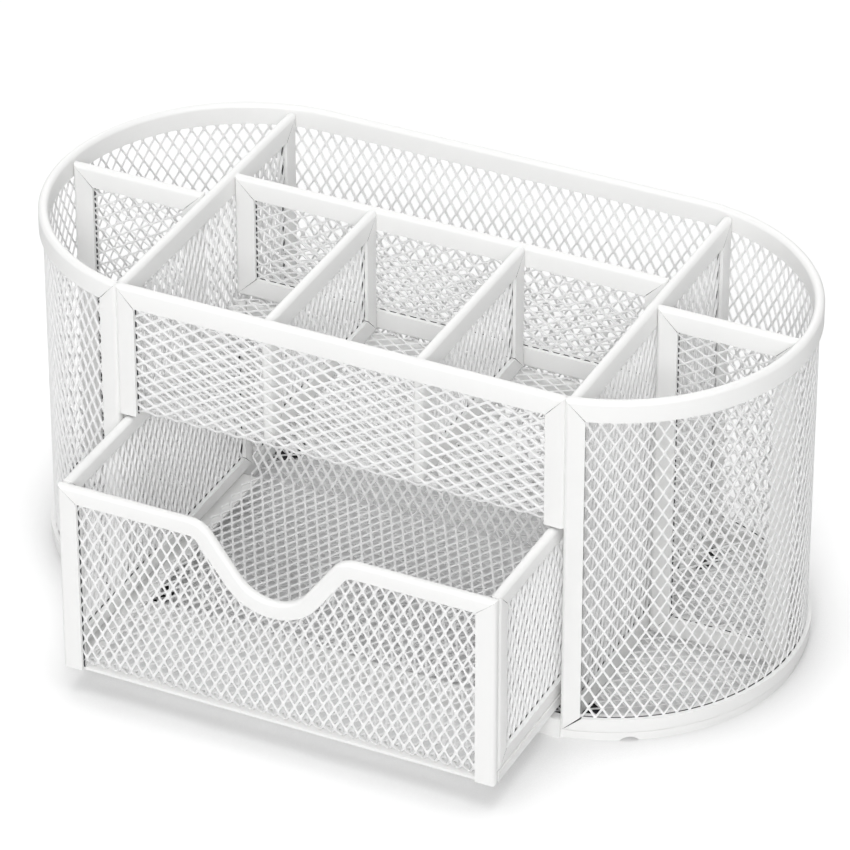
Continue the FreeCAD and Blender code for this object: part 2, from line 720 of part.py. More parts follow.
# folded strips under the edges of the drawer floor
strip_y = ("fit_gap + channel_width - drawer_face", "drawer_rear - channel_width")
strip_z = ("drawer_low", tray_floor)
strip_wall = box(("drawer_half - sheet_thick", "drawer_half"), strip_y, ("drawer_low", "strip_top"))
strip_foot = box(("drawer_half - strip_flange", "drawer_half"), strip_y, strip_z)
right_strip = keep("drawer_right_floor_strip", fuse(strip_wall, strip_foot))
keep("drawer_left_floor_strip", mirrored(right_strip))
keep("drawer_front_floor_strip",
     box(("strip_flange + fit_gap - drawer_half", "drawer_half - strip_flange - fit_gap"),
         (FRONT_SHEET[0], f"{FRONT_SHEET[0]} + strip_flange"), strip_z))

# ---------------------------------------------------------------- check and export

doc.recompute()
for item in doc.Objects:
    faults = [state for state in item.State if state in ("Invalid", "Error")]
    if faults:
        raise RuntimeError(f"{item.Name} ({item.Label}) is {faults}")

os.makedirs("parts", exist_ok=True)
for item in parts:
    if item.Shape.isNull() or not item.Shape.isValid() or not item.Shape.Solids:
        raise RuntimeError(f"{item.Label} has no valid solid")
    item.Shape.exportStep(f"parts/{item.Label}.step")
print(f"{len(parts)} parts written")
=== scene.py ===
import math
from collections import namedtuple
from itertools import product

import bpy
from mathutils import Matrix, Vector


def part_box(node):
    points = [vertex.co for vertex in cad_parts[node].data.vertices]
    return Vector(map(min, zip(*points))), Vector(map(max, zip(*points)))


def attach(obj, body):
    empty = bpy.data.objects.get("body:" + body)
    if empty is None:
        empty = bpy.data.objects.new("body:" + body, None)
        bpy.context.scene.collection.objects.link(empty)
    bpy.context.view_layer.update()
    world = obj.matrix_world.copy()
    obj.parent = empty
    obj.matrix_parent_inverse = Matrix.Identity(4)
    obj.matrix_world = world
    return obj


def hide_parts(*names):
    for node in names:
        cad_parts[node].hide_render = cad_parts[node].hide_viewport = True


# Pen stand with drawer in white powder-coated expanded mesh. Lengths are millimetres up to the stage, and MM
# turns them into the frame's metres. Most places are read from the CAD nodes; the body's plan repeats the
# CAD's driving sizes. This script gives the sheets their real pitch and the folded channels their rounded
# edges and open mitres.

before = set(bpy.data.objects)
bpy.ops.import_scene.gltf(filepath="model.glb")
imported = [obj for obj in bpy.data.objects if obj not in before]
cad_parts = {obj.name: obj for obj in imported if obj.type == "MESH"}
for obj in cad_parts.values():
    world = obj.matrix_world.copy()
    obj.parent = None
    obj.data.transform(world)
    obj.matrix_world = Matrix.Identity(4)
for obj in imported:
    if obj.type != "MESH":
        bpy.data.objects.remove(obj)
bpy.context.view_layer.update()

MM = 0.001
X = Vector((1, 0, 0))
Y = Vector((0, 1, 0))
Z = Vector((0, 0, 1))
SHARP_ANGLE = math.radians(40)

# folded channels
CHANNEL_WIDTH = 2.8
CHANNEL_WEB = 1.0       # solid depth above the slot
FOLD = 1.1              # radius of the two rolled edges
FOLD_STEPS = 5
SLOT = 0.9              # open width of the slot that grips the sheet
SLOT_LOW = 0.45         # the same along the bottom members
SLOT_POINTS = 4
SEAM_INNER = 0.12       # how far a mitre opens at its inner end
SEAM_FOOT = 0.34        # the same at the foot of the front posts
RIM_DEPTH = 6.0
DRAWER_BAND = 4.6       # depth of the drawer's channels

# mesh sheets
SHEET_THICK = 0.8
SHEET_INSET = 1.2       # from a channel's outer edge to the edge of its sheet
BEND_RADIUS = 1.6
RIDGE = 0.3             # half thickness of a strand along its middle
EDGE = 0.16             # half thickness of a strand at the hole

# pitches along both diagonals, strand width, share of a side cut off at each corner, and tilt of the strands
Weave = namedtuple("Weave", "long_pitch short_pitch strand rounding lean")
WALL_WEAVE = Weave(6.1, 3.65, 0.54, 0.08, 0.17)
SHELF_WEAVE = Weave(5.9, 3.75, 0.62, 0.1, 0.14)
TRAY_WEAVE = Weave(6.1, 3.35, 0.58, 0.14, 0.12)
SIDE_WEAVE = Weave(6.1, 3.35, 0.4, 0.08, -0.27)


def span(node):
    """Lowest and highest corner of a CAD node, in millimetres."""
    low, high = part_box(node)
    return Vector(low) / MM, Vector(high) / MM


# ---------------------------------------------------------------- materials

CLOUD_SCALE = 18.0
CLOUD_DETAIL = 4.0
CLOUD_RAMP = (0.3, 0.7)
GLOSS_DOWN = 0.05
GLOSS_UP = 0.06
GRAIN_DETAIL = 2.0
GRAIN_STRENGTH = 0.25


def add_node(tree, kind, inputs=None):
    """New node of a kind, with the inputs given by name set to their values."""
    node = tree.nodes.new(kind)
    for name, value in (inputs or {}).items():
        node.inputs[name].default_value = value
    return node


def coat(name, base, roughness, mottle, grain_scale, grain_depth):
    """Opaque coat with faint mottling, a fine orange-peel grain and a soft gloss."""
    material = bpy.data.materials.new(name)
    material.use_nodes = True
    tree = material.node_tree
    link = tree.links.new
    shader = tree.nodes["Principled BSDF"]
    shader.inputs["Metallic"].default_value = 0.0
    shader.inputs["IOR"].default_value = 1.5
    place = add_node(tree, "ShaderNodeTexCoord")
    clouds = add_node(tree, "ShaderNodeTexNoise", {"Scale": CLOUD_SCALE, "Detail": CLOUD_DETAIL})
    ramp = add_node(tree, "ShaderNodeValToRGB")
    dull, clear = ramp.color_ramp.elements
    dull.position, clear.position = CLOUD_RAMP
    dull.color = (*[c * (1 - mottle) for c in base], 1)
    clear.color = (*base, 1)
    gloss = add_node(tree, "ShaderNodeMapRange",
                     {"To Min": roughness - GLOSS_DOWN, "To Max": roughness + GLOSS_UP})
    grain = add_node(tree, "ShaderNodeTexNoise", {"Scale": grain_scale, "Detail": GRAIN_DETAIL})
    bump = add_node(tree, "ShaderNodeBump", {"Strength": GRAIN_STRENGTH, "Distance": grain_depth * MM})
    link(place.outputs["Object"], clouds.inputs["Vector"])
    link(place.outputs["Object"], grain.inputs["Vector"])
    link(clouds.outputs["Fac"], ramp.inputs["Fac"])
    link(ramp.outputs["Color"], shader.inputs["Base Color"])
    link(clouds.outputs["Fac"], gloss.inputs["Value"])
    link(gloss.outputs["Result"], shader.inputs["Roughness"])
    link(grain.outputs["Fac"], bump.inputs["Height"])
    link(bump.outputs["Normal"], shader.inputs["Normal"])
    return material


FRAME_COAT = coat("FrameCoat", (0.92, 0.92, 0.912), 0.36, 0.02, 900.0, 0.05)
MESH_COAT = coat("MeshCoat", (0.925, 0.925, 0.925), 0.42, 0.03, 1400.0, 0.04)
# dark coat for the insides of the slots and the end faces of the mitres: painted shade in the gaps, not a
# colour of the channel
SLOT_SHADE_COAT = coat("SlotShadeCoat", (0.12, 0.12, 0.125), 0.6, 0.3, 700.0, 0.03)
RUBBER = coat("Rubber", (0.022, 0.022, 0.023), 0.7, 0.3, 600.0, 0.04)


# ---------------------------------------------------------------- building blocks

def mesh_object(name, vertices, faces, material):
    """Smooth mesh object from vertices in millimetres, with sharp edges where it folds."""
    data = bpy.data.meshes.new(name)
    data.from_pydata([Vector(v) * MM for v in vertices], [], faces)
    for face in data.polygons:
        face.use_smooth = True
    item = bpy.data.objects.new(name, data)
    bpy.context.scene.collection.objects.link(item)
    data.set_sharp_from_angle(angle=SHARP_ANGLE)
    data.materials.append(material)
    return item


def piece(name, vertices, faces, node, body, material, dark=()):
    """Mesh object that stands for one CAD node, or for several of one body.

    The faces numbered in dark are the insides of slots and the end faces of mitres, which take a dark coat as
    painted shade in those gaps."""
    item = mesh_object(name, vertices, faces, material)
    if dark:
        item.data.materials.append(SLOT_SHADE_COAT)
        for index in dark:
            item.data.polygons[index].material_index = 1
    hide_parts(*([node] if isinstance(node, str) else node))
    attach(item, body)


def folded_section(depth, slot=SLOT):
    """Outline of a folded channel: (across, down) points, web at the top, open downwards.

    Its last SLOT_POINTS points go round the inside of the slot."""
    half = CHANNEL_WIDTH / 2
    points = [(-half, depth)]
    turns = [math.pi / 2 * k / FOLD_STEPS for k in range(FOLD_STEPS + 1)]
    for turn in turns:
        points.append((-half + FOLD * (1 - math.cos(turn)), FOLD * (1 - math.sin(turn))))
    for turn in turns:
        points.append((half - FOLD * (1 - math.sin(turn)), FOLD * (1 - math.cos(turn))))
    points += [(half, depth), (slot / 2, depth), (slot / 2, CHANNEL_WEB), (-slot / 2, CHANNEL_WEB),
               (-slot / 2, depth)]
    return points


def skin(count, rings):
    """Faces round a section of count points carried through rings, with the ones inside its slot."""
    faces = []
    dark = []
    for ring in range(rings - 1):
        for k in range(count):
            nxt = (k + 1) % count
            low = ring * count
            high = low + count
            if count - SLOT_POINTS <= k < count - 1:
                dark.append(len(faces))
            faces.append((low + k, low + nxt, high + nxt, high + k))
    last = (rings - 1) * count
    dark += [len(faces), len(faces) + 1]
    faces.append(tuple(range(count))[::-1])
    faces.append(tuple(range(last, last + count)))
    return faces, dark


def sweep(section, stations):
    """A section carried along stations of (origin, across, down, shear along)."""
    vertices = []
    for origin, across, down, along in stations:
        for w, d in section:
            vertices.append(origin + across * w + down * d + along * d)
    return vertices, *skin(len(section), len(stations))


def merge(parts):
    """Several (vertices, faces, dark faces) in one."""
    vertices = []
    faces = []
    dark = []
    for some, more, inside in parts:
        base = len(vertices)
        dark += [len(faces) + index for index in inside]
        vertices += some
        faces += [tuple(base + index for index in face) for face in more]
    return vertices, faces, dark


def member(start, end, across, down, depth, mitre_start=1.0, mitre_end=1.0, slot=SLOT):
    """One straight channel from start to end along its outer edge, cut at the slopes given."""
    along = (end - start).normalized()
    open_up = SEAM_INNER / depth
    stations = [(start, across, down, along * (mitre_start + open_up)),
                (end, across, down, along * -(mitre_end + open_up))]
    return sweep(folded_section(depth, slot), stations)


def flat_place(thin, mid):
    """Makes places in a plane: the axis thin stays at mid, and the other two take (a, b)."""
    a, b = [axis for axis in range(3) if axis != thin]

    def place(at_a, at_b):
        point = Vector((0, 0, 0))
        point[thin] = mid
        point[a] = at_a
        point[b] = at_b
        return point

    return a, b, place


def framed(node, body, thin, depth):
    """Rectangular frame of four mitred channels on the box of a CAD frame node."""
    low, high = span(node)
    a, b, place = flat_place(thin, (low[thin] + high[thin]) / 2)
    across = (X, Y, Z)[thin]
    corners = [place(low[a], low[b]), place(high[a], low[b]), place(high[a], high[b]), place(low[a], high[b])]
    sides = []
    for k in range(4):
        start = corners[k]
        end = corners[(k + 1) % 4]
        inward = (corners[(k + 2) % 4] - end).normalized()
        slot = SLOT_LOW if k == 0 else SLOT
        sides.append(member(start, end, across, inward, depth, slot=slot))
    vertices, faces, dark = merge(sides)
    piece(node + "_shown", vertices, faces, node, body, FRAME_COAT, dark)


# ---------------------------------------------------------------- expanded mesh

def expanded(weave, u_span, v_span, long_is_u, keep, lay):
    """Expanded sheet laid by lay(u, v) -> (point, normal): one ring of strand round every diamond kept.

    Every strand leans the same way, so one side of each hole stands proud by the weave's lean."""
    half_u = (weave.long_pitch if long_is_u else weave.short_pitch) / 2
    half_v = (weave.short_pitch if long_is_u else weave.long_pitch) / 2
    reach = half_u * half_v / math.hypot(half_u, half_v)
    inner = 1 - weave.strand / 2 / reach
    columns = int((u_span[1] - u_span[0]) / half_u)
    rows = int((v_span[1] - v_span[0]) / half_v)
    start_u = (u_span[0] + u_span[1] - columns * half_u) / 2
    start_v = (v_span[0] + v_span[1] - rows * half_v) / 2
    tips = ((1, 0), (0, 1), (-1, 0), (0, -1))
    hole = []
    for k in range(4):
        (du, dv), (eu, ev) = tips[k], tips[(k + 1) % 4]
        for part in (weave.rounding, 1 - weave.rounding):
            hole.append((inner * (du + (eu - du) * part), inner * (dv + (ev - dv) * part)))
    shared = {}
    vertices = []
    faces = []

    def vertex(key, u, v, height):
        if key not in shared:
            point, normal = lay(u, v)
            shared[key] = len(vertices)
            vertices.append(point + normal * height)
        return shared[key]

    for i, j in product(range(1, columns), range(1, rows)):
        u = start_u + i * half_u
        v = start_v + j * half_v
        if (i + j) % 2 or not keep(u, v, half_u, half_v):
            continue
        rims = []
        for sign in (1, -1):
            outer = [vertex((i + du, j + dv, sign), u + du * half_u, v + dv * half_v, RIDGE * sign)
                     for du, dv in tips]
            rim = [vertex((i, j, sign, k), u + du * half_u, v + dv * half_v,
                          EDGE * sign + weave.lean * (dv if long_is_u else du))
                   for k, (du, dv) in enumerate(hole)]
            rims.append(rim)
            for k in range(4):
                side = (outer[k], outer[(k + 1) % 4], rim[2 * k + 1], rim[2 * k])
                tip = (outer[k], rim[2 * k], rim[2 * k - 1])
                faces.append(side[::sign])
                faces.append(tip[::sign])
        for k in range(8):
            nxt = (k + 1) % 8
            faces.append((rims[0][k], rims[0][nxt], rims[1][nxt], rims[1][k]))
    return vertices, faces


def always(u, v, half_u, half_v):
    """Keeps every diamond of a sheet."""
    return True


def flat_sheet(node, body, thin, weave, long_axis):
    """Expanded sheet on the box of a flat CAD mesh node."""
    low, high = span(node)
    a, b, place = flat_place(thin, (low[thin] + high[thin]) / 2)
    normal = (X, Y, Z)[thin]

    def lay(u, v):
        return place(u, v), normal

    vertices, faces = expanded(weave, (low[a], high[a]), (low[b], high[b]), long_axis == a, always, lay)
    piece(node + "_shown", vertices, faces, node, body, MESH_COAT)


def bent_sheet(lines, radius):
    """Lays a sheet along x and along straight stretches joined by quarter bends in the (y, z) plane.

    lines is a list of (y, z) corners; returns (length, lay) with lay(x, run) -> (point, normal)."""
    stretches = []
    corners = [Vector(c) for c in lines]
    for k in range(len(corners) - 1):
        along = (corners[k + 1] - corners[k]).normalized()
        start = corners[k] + along * (radius if k else 0)
        end = corners[k + 1] - along * (radius if k < len(corners) - 2 else 0)
        stretches.append((start, along, None, (end - start).length))
        if k < len(corners) - 2:
            turn = (corners[k + 2] - corners[k + 1]).normalized()
            stretches.append((end + turn * radius, along, turn, radius * math.pi / 2))
    length = sum(size for spot, along, turn, size in stretches)

    def lay(x, run):
        for spot, along, turn, size in stretches:
            if run <= size:
                break
            run -= size
        else:
            run += size
        if turn is None:
            point = spot + along * run
            heading = along
        else:
            angle = run / radius
            point = spot + (along * math.sin(angle) - turn * math.cos(angle)) * radius
            heading = along * math.cos(angle) + turn * math.sin(angle)
        return Vector((x, point.x, point.y)), Vector((0, -heading.y, heading.x))

    return length, lay


# ---------------------------------------------------------------- body plan

END_X = 55.0            # centres of the round ends
OUTER = 55.0
WALL_MID = OUTER - CHANNEL_WIDTH / 2
POST_IN = 65.0
POST_OUT = 70.3
POST_WIDTH = POST_OUT - POST_IN
BORDER_IN = 59.6
TOP = 106.0
FOOT = 2.6
FOOT_TOP = 7.2
FOOT_DEPTH = FOOT_TOP - FOOT
FACE_Y = -54.08
WALL_START = POST_IN + SHEET_INSET
FLOOR_REACH = 52.9      # where the floor sheet's diamonds stop, from the middle of a round end
END_STEPS = 72
BACK_STEPS = 8


def start_angle(start_x):
    """Angle round the right end, from its front, where the wall meets x = start_x."""
    return math.asin((start_x - END_X) / OUTER)


def oval(run, radius, start_x):
    """Point and outward direction on the wall, a run along it from x = start_x at the front right."""
    start = start_angle(start_x)
    bend = radius * (math.pi - start)
    back = 2 * END_X
    if run <= bend:
        angle = start + run / radius
        out = Vector((math.sin(angle), -math.cos(angle), 0))
        return X * END_X + out * radius, out
    if run <= bend + back:
        return X * (END_X - (run - bend)) + Y * radius, Y.copy()
    angle = (run - bend - back) / radius
    out = Vector((-math.sin(angle), math.cos(angle), 0))
    return X * -END_X + out * radius, out


def oval_length(radius, start_x):
    """Length of the wall from x = start_x at the front right to the same place at the front left."""
    return 2 * radius * (math.pi - start_angle(start_x)) + 2 * END_X


def curved_rim(node, edge_z, depth, toward, slot, gap):
    """Channel round the oval, mitred into the posts; its slot points along toward (+1 up, -1 down)."""
    section = folded_section(depth, slot)
    total = oval_length(WALL_MID, POST_IN)
    bend = (total - 2 * END_X) / 2
    runs = [bend * k / END_STEPS for k in range(END_STEPS + 1)]
    runs += [bend + 2 * END_X * k / BACK_STEPS for k in range(1, BACK_STEPS + 1)]
    runs += [bend + 2 * END_X + bend * k / END_STEPS for k in range(1, END_STEPS + 1)]
    slope = (POST_WIDTH + gap) / depth
    vertices = []
    for run in runs:
        for w, d in section:
            room = d * slope
            point, out = oval(room + (total - 2 * room) * run / total, WALL_MID, POST_IN)
            vertices.append(point + out * w + Z * (edge_z + toward * d))
    faces, dark = skin(len(section), len(runs))
    piece(node + "_shown", vertices, faces, node, "root", FRAME_COAT, dark)


curved_rim("wall_top_rim", TOP, RIM_DEPTH, -1, SLOT, SEAM_INNER)
curved_rim("wall_bottom_rim", FOOT, FOOT_DEPTH, 1, SLOT_LOW, SEAM_FOOT)

# upright posts on the curve, mitred into both rims
post_section = folded_section(POST_WIDTH)
post_rings = ((FOOT, FOOT_DEPTH / POST_WIDTH, 1, SEAM_FOOT), (TOP, RIM_DEPTH / POST_WIDTH, -1, SEAM_INNER))
for side, word in ((1, "right"), (-1, "left")):
    vertices = []
    for z, slope, toward, gap in post_rings:
        for w, d in post_section:
            angle = start_angle(POST_IN) + d / WALL_MID
            out = Vector((math.sin(angle), -math.cos(angle), 0))
            rise = toward * (slope * d + gap * d / POST_WIDTH)
            point = X * END_X + out * (WALL_MID + w) + Z * (z + rise)
            point.x *= side
            vertices.append(point)
    faces, dark = skin(len(post_section), len(post_rings))
    node = f"{word}_front_post"
    piece(node + "_shown", vertices, faces, node, "root", FRAME_COAT, dark)

# curved wall sheet
WALL_SHEETS = ["right_front_wall_mesh", "right_back_wall_mesh", "back_wall_mesh", "left_back_wall_mesh",
               "left_front_wall_mesh"]
wall_low, wall_high = span("back_wall_mesh")
wall_total = oval_length(WALL_MID, WALL_START)


def lay_wall(u, v):
    """Lays u along the wall from the front right, and v upwards."""
    point, out = oval(u, WALL_MID, WALL_START)
    return point + Z * v, out


vertices, faces = expanded(WALL_WEAVE, (0, wall_total), (wall_low.z, wall_high.z), False, always, lay_wall)
piece("outer_wall_mesh_shown", vertices, faces, WALL_SHEETS, "root", MESH_COAT)

# tray front: top rim and two borders
panel_y = FACE_Y + CHANNEL_WIDTH / 2
border_depth = POST_IN - BORDER_IN
vertices, faces, dark = member(Vector((-POST_IN, panel_y, TOP)), Vector((POST_IN, panel_y, TOP)), -Y, -Z,
                               RIM_DEPTH, border_depth / RIM_DEPTH, border_depth / RIM_DEPTH)
piece("front_panel_top_rim_shown", vertices, faces, "front_panel_top_rim", "root", FRAME_COAT, dark)
for side, word in ((1, "right"), (-1, "left")):
    node = f"front_panel_{word}_border"
    low, _ = span(node)
    vertices, faces, dark = member(Vector((side * POST_IN, panel_y, low.z)),
                                   Vector((side * POST_IN, panel_y, TOP)),
                                   -Y, X * -side, border_depth, 0.0, RIM_DEPTH / border_depth)
    piece(node + "_shown", vertices, faces, node, "root", FRAME_COAT, dark)

# tray front and shelf, one bent sheet
panel_low, panel_high = span("front_panel_mesh")
shelf_low, shelf_high = span("shelf_mesh")
shelf_mid = shelf_low.z + SHEET_THICK / 2
length, lay_shelf = bent_sheet([(panel_y, panel_high.z), (panel_y, shelf_mid), (shelf_high.y, shelf_mid)],
                               BEND_RADIUS)
vertices, faces = expanded(SHELF_WEAVE, (panel_low.x, panel_high.x), (0, length), True, always, lay_shelf)
piece("front_panel_and_shelf_mesh_shown", vertices, faces, ["front_panel_mesh", "shelf_mesh"], "root",
      MESH_COAT)

# partitions and drawer sides: the axis a piece is thin along, then the one its diamonds are long along
for word in ("left", "right"):
    framed(f"{word}_divider_frame", "root", 0, RIM_DEPTH)
    flat_sheet(f"{word}_divider_mesh", "root", 0, SIDE_WEAVE, 2)
    framed(f"{word}_short_divider_frame", "root", 1, RIM_DEPTH)
    flat_sheet(f"{word}_short_divider_mesh", "root", 1, WALL_WEAVE, 0)
    framed(f"{word}_tray_divider_frame", "root", 0, RIM_DEPTH)
    flat_sheet(f"{word}_tray_divider_mesh", "root", 0, SIDE_WEAVE, 2)
    framed(f"drawer_{word}_side_frame", "drawer", 0, DRAWER_BAND)
    flat_sheet(f"drawer_{word}_side_mesh", "drawer", 0, SIDE_WEAVE, 2)
framed("tray_back_wall_frame", "root", 1, RIM_DEPTH)
flat_sheet("tray_back_wall_mesh", "root", 1, WALL_WEAVE, 0)

# floor sheet
base_low, base_high = span("base_floor_mesh")
base_mid = (base_low.z + base_high.z) / 2


def in_floor(u, v, half_u, half_v):
    """Keeps the diamonds inside the wall's channel and behind the sill."""
    beyond = max(0, abs(u) + half_u - END_X)
    return math.hypot(beyond, abs(v) + half_v) < FLOOR_REACH and v - half_v > base_low.y


def lay_floor(u, v):
    """Lays u along x and v along y."""
    return Vector((u, v, base_mid)), Z


vertices, faces = expanded(WALL_WEAVE, (base_low.x, base_high.x), (base_low.y, base_high.y), True, in_floor,
                           lay_floor)
piece("base_floor_mesh_shown", vertices, faces, "base_floor_mesh", "root", MESH_COAT)

# round rubber pads under the floor sheet, one near each corner of the straight part; they have no CAD node
PAD_RADIUS = 6.0
PAD_CENTRE = (64.0, 40.4)
PAD_STEPS = 32
PAD_PROFILE = ((0.94, 0.0), (1.0, 0.3), (1.0, base_low.z - 0.25), (0.94, base_low.z - 0.05))
pad_faces = [(ring * PAD_STEPS + k, ring * PAD_STEPS + (k + 1) % PAD_STEPS,
              (ring + 1) * PAD_STEPS + (k + 1) % PAD_STEPS, (ring + 1) * PAD_STEPS + k)
             for ring, k in product(range(len(PAD_PROFILE) - 1), range(PAD_STEPS))]
pad_faces += [tuple(range(PAD_STEPS))[::-1],
              tuple(range((len(PAD_PROFILE) - 1) * PAD_STEPS, len(PAD_PROFILE) * PAD_STEPS))]
pads = []
for side, end in product((-1, 1), (-1, 1)):
    centre = Vector((side * PAD_CENTRE[0], end * PAD_CENTRE[1], 0))
    turns = [2 * math.pi * k / PAD_STEPS for k in range(PAD_STEPS)]
    disc = [centre + (X * math.cos(turn) + Y * math.sin(turn)) * PAD_RADIUS * scale + Z * z
            for (scale, z), turn in product(PAD_PROFILE, turns)]
    pads.append((disc, pad_faces, []))
vertices, faces, _ = merge(pads)
item = mesh_object("rubber_feet", vertices, faces, RUBBER)
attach(item, "root")

# ---------------------------------------------------------------- drawer

tray_low, tray_high = span("drawer_front_mesh")
floor_low, _ = span("drawer_floor_mesh")
trim_low, trim_high = span("drawer_front_trim")
post_low, post_high = span("drawer_front_right_post")
back_low, back_high = span("drawer_back_trim")
HALF = post_high.x
DRAWER_POST = post_high.x - post_low.x
DRAWER_TOP = trim_high.z
front_y = trim_low.y + CHANNEL_WIDTH / 2
back_y = (back_low.y + back_high.y) / 2

# finger dip: two shoulders, a valley and the straight flanks between them
DIP_SHIFT = -0.8
DIP_HALF = 24.0
DIP_DEPTH = 19.0
SHOULDER = 8.0
VALLEY = 12.0
ARC_STEPS = 14
dip_rise = DIP_DEPTH - (SHOULDER + VALLEY)
FLANK = math.asin((SHOULDER + VALLEY) / math.hypot(DIP_HALF, dip_rise)) + math.atan2(dip_rise, DIP_HALF)


def wave():
    """Stations along the wavy top: (point, inward direction) at the outer edge, left to right."""
    stations = [(Vector((-HALF, 0, DRAWER_TOP)), -Z)]
    shares = [k / ARC_STEPS for k in range(ARC_STEPS + 1)]
    for side in (-1, 1):
        bends = []
        centre = Vector((DIP_SHIFT + side * DIP_HALF, 0, DRAWER_TOP - SHOULDER))
        for share in shares:
            out = Vector((-side * math.sin(FLANK * share), 0, math.cos(FLANK * share)))
            bends.append((centre + out * SHOULDER, -out))
        centre = Vector((DIP_SHIFT, 0, DRAWER_TOP - DIP_DEPTH + VALLEY))
        for share in shares:
            angle = FLANK * (1 - share)
            out = Vector((side * math.sin(angle), 0, -math.cos(angle)))
            bends.append((centre + out * VALLEY, out))
        stations += bends if side < 0 else bends[::-1][1:]
    stations.append((Vector((HALF, 0, DRAWER_TOP)), -Z))
    return stations


wave_stations = wave()
shears = [X * 0] * len(wave_stations)
shears[0] = X * (DRAWER_POST / DRAWER_BAND)
shears[-1] = X * -(DRAWER_POST / DRAWER_BAND)
stations = [(point + Y * front_y, -Y, inward, shear)
            for (point, inward), shear in zip(wave_stations, shears)]
vertices, faces, dark = sweep(folded_section(DRAWER_BAND), stations)
piece("drawer_front_trim_shown", vertices, faces, "drawer_front_trim", "drawer", FRAME_COAT, dark)

for side, word in ((1, "right"), (-1, "left")):
    vertices, faces, dark = member(Vector((side * HALF, front_y, post_low.z)),
                                   Vector((side * HALF, front_y, DRAWER_TOP)),
                                   -Y, X * -side, DRAWER_POST, 0.0, DRAWER_BAND / DRAWER_POST)
    node = f"drawer_front_{word}_post"
    piece(node + "_shown", vertices, faces, node, "drawer", FRAME_COAT, dark)

vertices, faces, dark = member(Vector((back_low.x, back_y, back_high.z)),
                               Vector((back_high.x, back_y, back_high.z)), -Y, -Z, DRAWER_BAND, 0.0, 0.0)
piece("drawer_back_trim_shown", vertices, faces, "drawer_back_trim", "drawer", FRAME_COAT, dark)

# drawer front, floor and back, one bent sheet
DIP_MARGIN = 4.0        # how far past the dip's ends its edge still bends
TRIM_BITE = 1.3         # nearest a diamond's tip comes to the trim's outer edge in the dip
tray_floor = floor_low.z + SHEET_THICK / 2
sheet_top = DRAWER_TOP - SHEET_INSET
wave_line = [(point.x, point.z) for point, inward in wave_stations]
length, lay_tray = bent_sheet([(front_y, sheet_top), (front_y, tray_floor), (back_y, tray_floor),
                               (back_y, sheet_top)], BEND_RADIUS)


def wave_height(x):
    """Height of the wavy edge above one x."""
    for (x0, z0), (x1, z1) in zip(wave_line, wave_line[1:]):
        if x0 <= x <= x1:
            return z0 + (z1 - z0) * (x - x0) / max(x1 - x0, 1e-6)
    return DRAWER_TOP


def in_tray(u, v, half_u, half_v):
    """Keeps the front below the trim's web, and all of the floor and back."""
    if v > sheet_top - tray_floor:
        return True
    for du, dv in ((half_u, 0), (-half_u, 0), (0, half_v), (0, -half_v)):
        x = u + du
        z = sheet_top - (v + dv)
        gap = min(math.hypot(x - wx, z - wz) for wx, wz in wave_line)
        if z > wave_height(x) or (abs(x) < DIP_HALF + DIP_MARGIN and gap < TRIM_BITE):
            return False
    return True


vertices, faces = expanded(TRAY_WEAVE, (tray_low.x, tray_high.x), (0, length), False, in_tray, lay_tray)
piece("drawer_tray_mesh_shown", vertices, faces,
      ["drawer_front_mesh", "drawer_floor_mesh", "drawer_back_mesh"], "drawer", MESH_COAT)

# ---------------------------------------------------------------- CAD pieces shown as they are

for name in ("base_rim", "drawer_left_floor_strip", "drawer_right_floor_strip", "drawer_front_floor_strip"):
    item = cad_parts[name]
    for holder in item.material_slots:
        holder.material = FRAME_COAT
    if not item.material_slots:
        item.data.materials.append(FRAME_COAT)

# ---------------------------------------------------------------- stage, in metres

FLOOR_SIZE = 6
FLOOR_TONE = 0.75
LIFT_REACH = 0.03       # distance from the object over which the floor's lift fades
LIFT_FROM = 0.45        # openness of the floor at which the lift begins to rise
LIFT_UNDER = 0.06       # white that the camera sees on top of the light, under the object
LIFT_OPEN = 0.4         # the same on open floor
OPENNESS_SAMPLES = 8
bpy.ops.mesh.primitive_plane_add(size=FLOOR_SIZE, location=(0, 0, 0))
floor = bpy.context.active_object
floor.name = "studio_floor"
floor_material = bpy.data.materials.new("StudioFloor")
floor_material.use_nodes = True
tree = floor_material.node_tree
shader = tree.nodes["Principled BSDF"]
shader.inputs["Base Color"].default_value = (FLOOR_TONE, FLOOR_TONE, FLOOR_TONE, 1)
shader.inputs["Emission Color"].default_value = (1, 1, 1, 1)
shader.inputs["Roughness"].default_value = 0.9
shader.inputs["Specular IOR Level"].default_value = 0.1
# the camera sees a white lift on the floor on top of its light, weaker where the object closes the floor in:
# painted shadow near and under the object
rays = add_node(tree, "ShaderNodeLightPath")
openness = add_node(tree, "ShaderNodeAmbientOcclusion", {"Distance": LIFT_REACH})
openness.samples = OPENNESS_SAMPLES
fade = add_node(tree, "ShaderNodeMapRange",
                {"From Min": LIFT_FROM, "From Max": 1.0, "To Min": LIFT_UNDER, "To Max": LIFT_OPEN})
lift = add_node(tree, "ShaderNodeMath")
lift.operation = "MULTIPLY"
tree.links.new(openness.outputs["AO"], fade.inputs["Value"])
tree.links.new(fade.outputs["Result"], lift.inputs[0])
tree.links.new(rays.outputs["Is Camera Ray"], lift.inputs[1])
tree.links.new(lift.outputs["Value"], shader.inputs["Emission Strength"])
floor.data.materials.append(floor_material)

